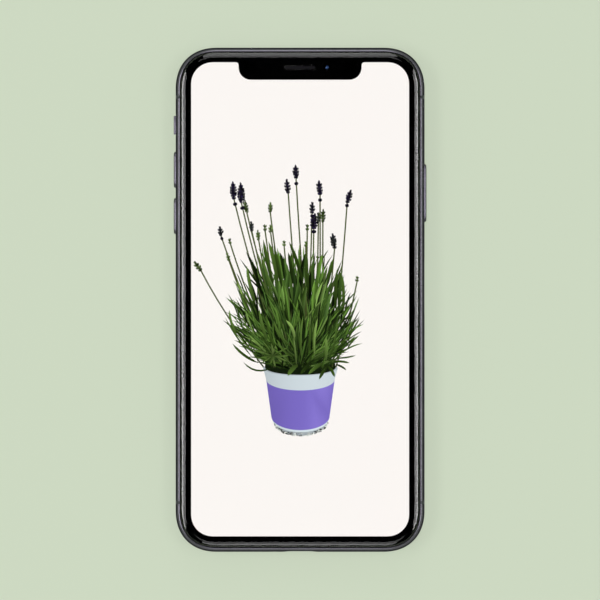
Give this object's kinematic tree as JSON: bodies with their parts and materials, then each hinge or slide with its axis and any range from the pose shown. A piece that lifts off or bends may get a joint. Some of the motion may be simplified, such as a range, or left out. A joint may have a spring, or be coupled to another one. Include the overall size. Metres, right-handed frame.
{
  "type": "smartphone",
  "caption": "Slab smartphone with a notched edge-to-edge screen, steel band, glass back, side keys, mute lever and card tray; the lit screen shows a potted lavender.",
  "frame": {"origin": "under the middle of the phone, on the surface that its camera island rests on", "axes": "+X to the right as the screen is read, +Y towards the phone's top end, +Z out of the screen"},
  "size_m": [0.072, 0.1436, 0.0086],
  "materials": {
    "dark_steel": "polished",
    "bare_steel": "satin",
    "plate_aluminium": "satin",
    "cover_glass": "gloss",
    "dark_glass": "gloss",
    "lens_glass": "polished",
    "screen": "satin",
    "black_plastic": "matte",
    "break_plastic": "satin",
    "gasket_rubber": "matte",
    "copper": "satin",
    "battery_pouch": "satin",
    "circuit_board": "satin",
    "chip": "satin",
    "flex": "satin",
    "lamp": "gloss"
  },
  "bodies": {
    "body": {"band_left": "dark_steel", "band_right": "dark_steel", "band_top": "dark_steel", "band_bottom": "dark_steel", "antenna_break_top_left": "break_plastic", "antenna_break_top_right": "break_plastic", "antenna_break_bottom_left": "break_plastic", "antenna_break_bottom_right": "break_plastic", "cover_glass": "cover_glass", "border_mask": "black_plastic", "display_panel": "screen", "display_frame": "black_plastic", "display_shield": "plate_aluminium", "display_gasket": "gasket_rubber", "display_flex": "flex", "earpiece_mesh": "dark_steel", "sensor_bracket": "bare_steel", "earpiece_speaker": "black_plastic", "front_camera": "lens_glass", "infrared_camera": "lens_glass", "dot_projector": "chip", "back_glass": "dark_glass", "chassis_plate": "plate_aluminium", "charging_coil": "copper", "camera_trim": "dark_steel", "camera_cover": "dark_glass", "lens_ring_wide": "dark_steel", "lens_ring_tele": "dark_steel", "lens_window_wide": "lens_glass", "lens_window_tele": "lens_glass", "flash_module": "lamp", "rear_camera_wide": "chip", "rear_camera_tele": "chip", "battery": "battery_pouch", "battery_flex": "flex", "logic_board": "circuit_board", "processor_package": "chip", "memory_package": "chip", "modem_shield": "bare_steel", "board_screw_upper": "bare_steel", "board_screw_lower": "bare_steel", "sim_reader": "bare_steel", "left_switch_plate": "bare_steel", "side_switch_plate": "bare_steel", "dock_board": "circuit_board", "port_shell": "bare_steel", "dock_bracket": "bare_steel", "loudspeaker": "black_plastic", "vibration_motor": "bare_steel", "bottom_microphone": "bare_steel", "dock_flex": "flex", "bottom_screw_left": "dark_steel", "bottom_screw_right": "dark_steel"},
    "volume_up": {"volume_up_button": "dark_steel"},
    "volume_down": {"volume_down_button": "dark_steel"},
    "side_key": {"side_button": "dark_steel"},
    "mute": {"mute_lever": "dark_steel"},
    "card_tray": {"sim_tray": "dark_steel"}
  },
  "joints": [
    {"name": "volume_up_press", "type": "slide", "parent": "body", "child": "volume_up", "axis": [1, 0, 0], "range_m": [0, 0.00025], "stiffness_N_per_m": 6000},
    {"name": "volume_down_press", "type": "slide", "parent": "body", "child": "volume_down", "axis": [1, 0, 0], "range_m": [0, 0.00025], "stiffness_N_per_m": 6000},
    {"name": "side_press", "type": "slide", "parent": "body", "child": "side_key", "axis": [-1, 0, 0], "range_m": [0, 0.00025], "stiffness_N_per_m": 6000},
    {"name": "mute_slide", "type": "slide", "parent": "body", "child": "mute", "axis": [0, 0, -1], "range_m": [0, 0.0016]},
    {"name": "tray_slide", "type": "slide", "parent": "body", "child": "card_tray", "axis": [1, 0, 0], "range_m": [0, 0.016]}
  ]
}
